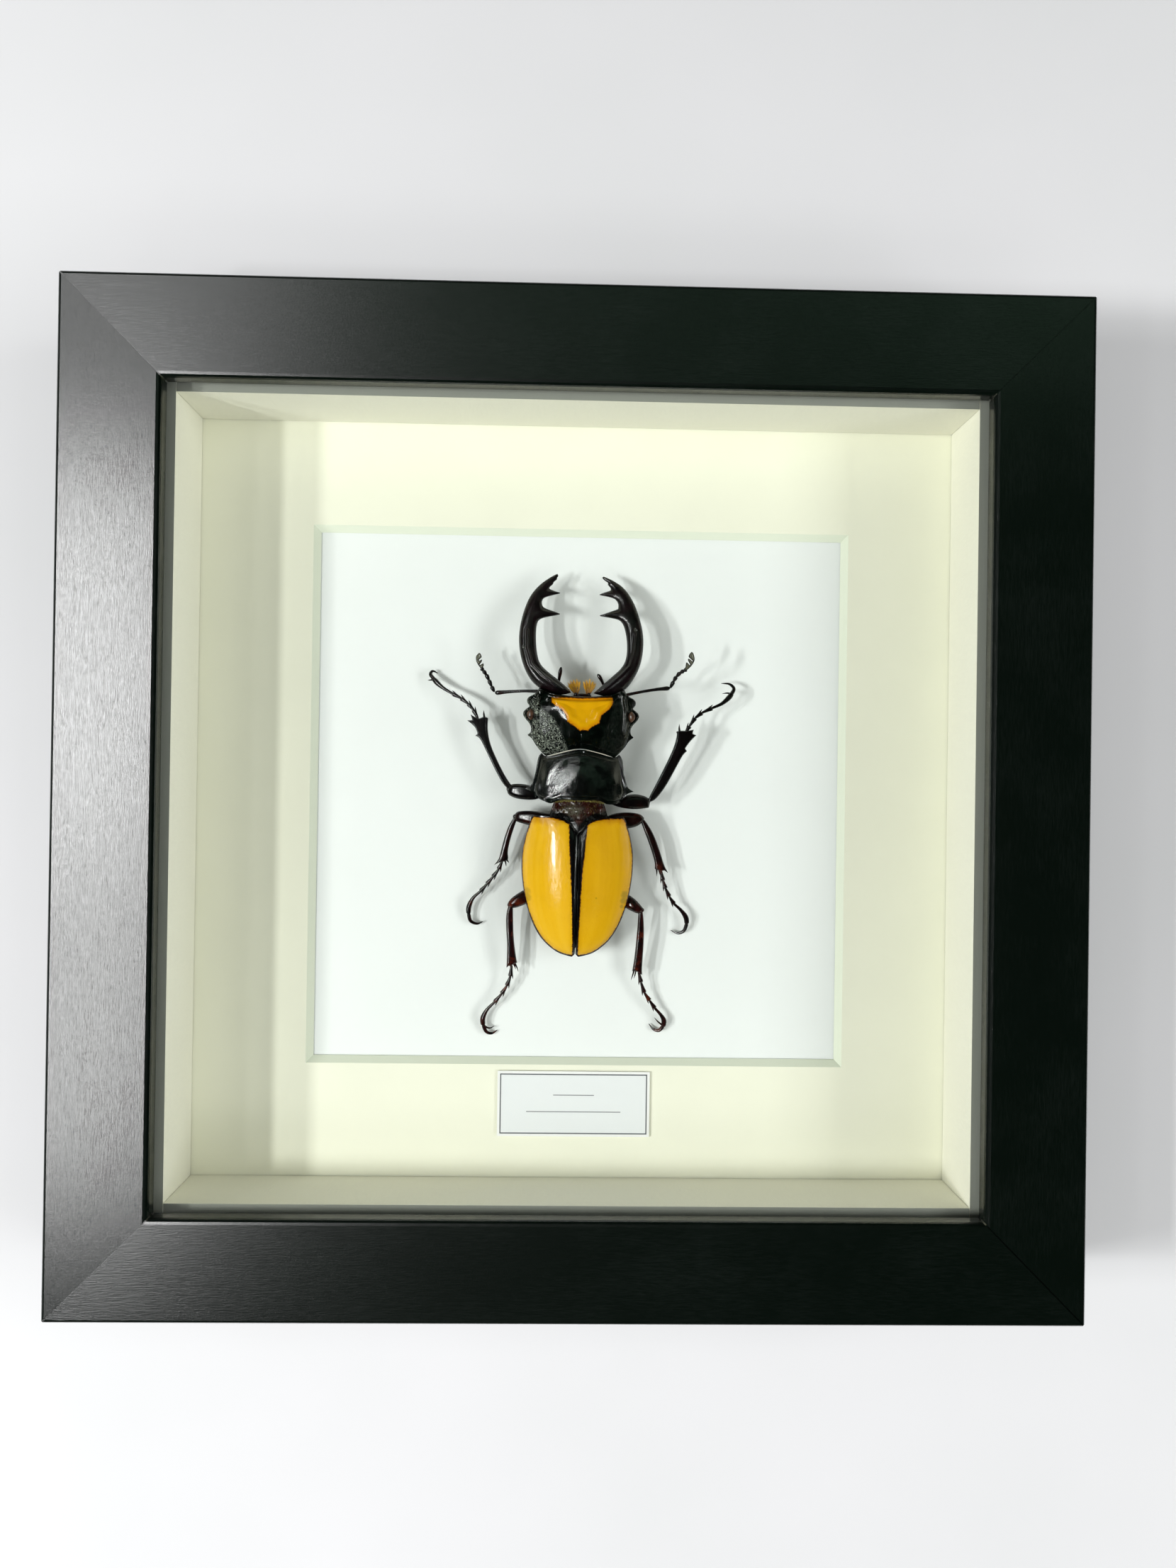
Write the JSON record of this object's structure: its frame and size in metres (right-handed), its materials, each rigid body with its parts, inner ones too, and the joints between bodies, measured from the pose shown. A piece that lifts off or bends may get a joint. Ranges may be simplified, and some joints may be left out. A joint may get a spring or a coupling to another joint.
{
  "type": "framed stag beetle",
  "caption": "Mounted stag beetle with long toothed jaws and amber wing cases, on a white board behind a windowed mount in a deep black glazed box frame.",
  "frame": {"origin": "middle of the frame's back, in the plane of the back of its rails", "axes": "+Z out of the glass, +X to the right of the display, +Y towards its top, where the beetle's jaws point"},
  "size_m": [0.206, 0.206, 0.033],
  "materials": {
    "black_moulding": "satin",
    "clear_glass": "gloss",
    "spacer_board": "matte",
    "cream_mount": "matte",
    "white_board": "matte",
    "label_card": "matte",
    "brown_hardboard": "matte",
    "zinc_steel": "satin",
    "black_shell": "satin",
    "jaw_shell": "satin",
    "dark_shell": "satin",
    "amber_wing_case": "gloss",
    "red_brown_leg": "gloss",
    "brown_eye": "gloss",
    "golden_hair": "matte"
  },
  "bodies": {
    "root": {"rail_top": "black_moulding", "rail_bottom": "black_moulding", "rail_left": "black_moulding", "rail_right": "black_moulding", "glass": "clear_glass", "spacer_top": "spacer_board", "spacer_bottom": "spacer_board", "spacer_left": "spacer_board", "spacer_right": "spacer_board", "mount_board": "cream_mount", "specimen_board": "white_board", "label": "label_card", "back_board": "brown_hardboard", "tab_top_a": "zinc_steel", "tab_top_b": "zinc_steel", "tab_bottom_a": "zinc_steel", "tab_bottom_b": "zinc_steel", "tab_left_a": "zinc_steel", "tab_left_b": "zinc_steel", "tab_right_a": "zinc_steel", "tab_right_b": "zinc_steel", "hanger": "zinc_steel", "hanger_rivet_left": "zinc_steel", "hanger_rivet_right": "zinc_steel", "head": "black_shell", "pronotum": "black_shell", "mandible_left": "jaw_shell", "mandible_right": "jaw_shell", "mesothorax": "dark_shell", "abdomen": "dark_shell", "elytron_left": "amber_wing_case", "elytron_right": "amber_wing_case", "leg_front_left": "red_brown_leg", "leg_front_right": "red_brown_leg", "leg_middle_left": "red_brown_leg", "leg_middle_right": "red_brown_leg", "leg_hind_left": "red_brown_leg", "leg_hind_right": "red_brown_leg", "antenna_left": "red_brown_leg", "antenna_right": "red_brown_leg", "palp_left": "red_brown_leg", "palp_right": "red_brown_leg", "eye_left": "brown_eye", "eye_right": "brown_eye", "mouth_brush_left": "golden_hair", "mouth_brush_right": "golden_hair"}
  },
  "joints": []
}
